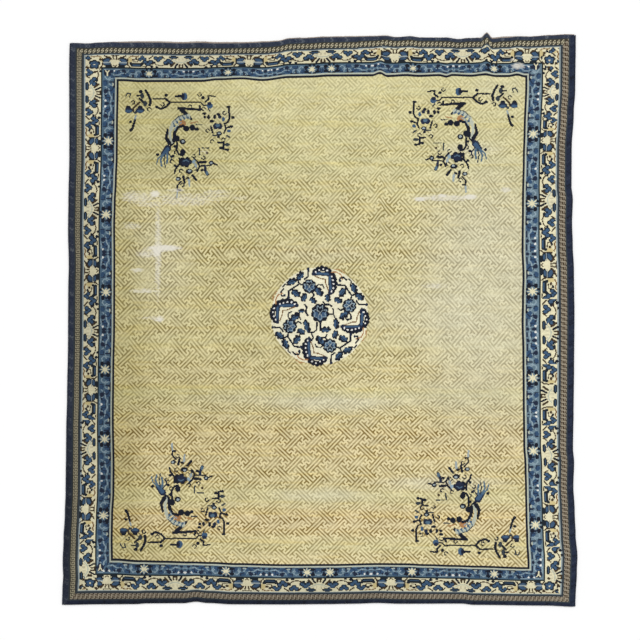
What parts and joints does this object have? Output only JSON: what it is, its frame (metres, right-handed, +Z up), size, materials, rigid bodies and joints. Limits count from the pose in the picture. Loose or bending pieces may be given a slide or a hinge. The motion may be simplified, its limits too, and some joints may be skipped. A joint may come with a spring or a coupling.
{
  "type": "peking rug",
  "caption": "Large flat hand-knotted wool rug with fret field, round flower medallion, bird corners and banded border, lying face up.",
  "frame": {"origin": "on the floor under the rug, at the middle of the box around it", "axes": "+Z up out of the pile; +Y along the warps, towards the end with the bare web; +X across the rug to the right, seen from above"},
  "size_m": [2.768, 3.084, 0.0228],
  "materials": {
    "wool_pile": "cut wool pile",
    "wool_binding": "wrapped wool yarn",
    "cotton_web": "plain woven cotton"
  },
  "bodies": {
    "root": {"rug": "wool_pile", "edge_cord_left": "wool_binding", "edge_cord_right": "wool_binding"}
  },
  "joints": []
}
